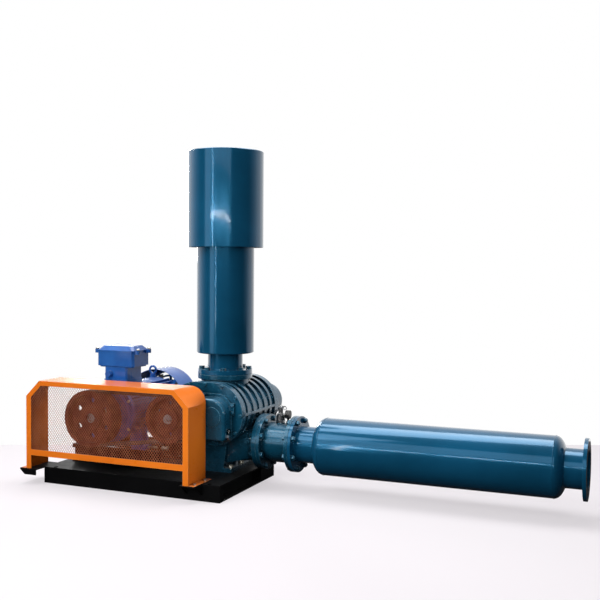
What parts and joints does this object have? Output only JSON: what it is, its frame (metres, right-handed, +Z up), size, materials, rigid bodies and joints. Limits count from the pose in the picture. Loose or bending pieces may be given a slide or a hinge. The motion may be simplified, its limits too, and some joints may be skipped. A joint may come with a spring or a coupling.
{
  "type": "roots blower",
  "caption": "Three-lobe roots blower on a skid, belt driven by an electric motor under a guard, with inlet silencer, relief valve, gauge and discharge silencer.",
  "frame": {"origin": "on the floor at the middle of the skid's footprint", "axes": "+X along the discharge line, +Y from the belt guard towards the gear cover, +Z up"},
  "size_m": [3.319, 1.029, 2.07],
  "materials": {
    "frame_paint": "gloss black enamel",
    "zinc": "zinc plated",
    "blower_paint": "gloss petrol blue enamel over castings",
    "bright_steel": "machined",
    "glass": "clear",
    "cast_iron": "machined grey iron",
    "rubber": "matt black",
    "pulley_iron": "red-brown primer, grooves worn bright",
    "motor_paint": "gloss royal blue enamel",
    "black_plastic": "matt",
    "core_steel": "plain",
    "guard_paint": "gloss orange enamel",
    "silencer_paint": "gloss petrol blue enamel",
    "gauge_paint": "gloss black"
  },
  "bodies": {
    "blower_set": {"skid_frame": "frame_paint", "guard_brackets": "frame_paint", "motor_rails": "frame_paint", "skid_bolts": "zinc", "tension_screws": "zinc", "blower_casing": "blower_paint", "front_wall_plate": "blower_paint", "rear_wall_plate": "blower_paint", "front_cover": "blower_paint", "gear_cover": "blower_paint", "casing_bolts": "blower_paint", "oil_plugs": "bright_steel", "sight_glasses": "glass", "bearings": "bright_steel", "shaft_seals": "rubber", "v_belts": "rubber", "motor_frame": "motor_paint", "motor_front_shield": "motor_paint", "motor_rear_shield": "motor_paint", "motor_fasteners": "zinc", "fan_cowl": "motor_paint", "stator_core": "core_steel", "terminal_box": "motor_paint", "terminal_lid": "motor_paint", "entry_plug": "black_plastic", "lifting_eye": "zinc", "guard_shell": "guard_paint", "guard_front_frame": "guard_paint", "guard_mesh": "guard_paint", "guard_bolts": "zinc", "inlet_drum": "silencer_paint", "inlet_core": "core_steel", "inlet_hood": "silencer_paint", "hood_brackets": "silencer_paint", "discharge_tee": "blower_paint", "silencer_shell": "silencer_paint", "silencer_core": "core_steel", "pipe_gaskets": "rubber", "flange_fasteners": "blower_paint", "relief_body": "bright_steel", "relief_bonnet": "bright_steel", "relief_spring": "bright_steel", "gauge_case": "gauge_paint", "gauge_glass": "glass"},
    "motor_rotor": {"motor_shaft": "bright_steel", "motor_core": "core_steel", "cooling_fan": "black_plastic", "motor_pulley": "pulley_iron", "motor_bush": "bright_steel"},
    "drive_rotor_set": {"drive_rotor": "cast_iron", "drive_shaft": "bright_steel", "drive_gear": "bright_steel", "blower_pulley": "pulley_iron", "blower_bush": "bright_steel"},
    "driven_rotor_set": {"driven_rotor": "cast_iron", "driven_shaft": "bright_steel", "driven_gear": "bright_steel", "oil_slinger": "bright_steel"},
    "relief_stem_set": {"relief_stem": "bright_steel"},
    "gauge_hand": {"gauge_needle": "gauge_paint"}
  },
  "joints": [
    {"name": "motor_spin", "type": "hinge", "parent": "blower_set", "child": "motor_rotor", "pos_m": [-0.247, 0, 0.434], "axis": [0, 1, 0], "continuous": true},
    {"name": "drive_spin", "type": "hinge", "parent": "blower_set", "child": "drive_rotor_set", "pos_m": [0.295, 0, 0.468], "axis": [0, 1, 0], "continuous": true},
    {"name": "driven_spin", "type": "hinge", "parent": "blower_set", "child": "driven_rotor_set", "pos_m": [0.487, 0, 0.468], "axis": [0, 1, 0], "continuous": true},
    {"name": "relief_lift", "type": "slide", "parent": "blower_set", "child": "relief_stem_set", "axis": [0, 0, 1], "range_m": [0, 0.008], "stiffness_N_per_m": 1500, "deforming": ["relief_spring"]},
    {"name": "gauge_sweep", "type": "hinge", "parent": "blower_set", "child": "gauge_hand", "pos_m": [0.824, 0.12, 0.452], "axis": [1, 0, 0], "range_deg": [0, 270], "stiffness_Nm_per_rad": 0.0005}
  ],
  "couplings": [
    {"joint": "drive_spin", "follows": "motor_spin", "ratio": 1.2214},
    {"joint": "driven_spin", "follows": "motor_spin", "ratio": -1.2214}
  ]
}
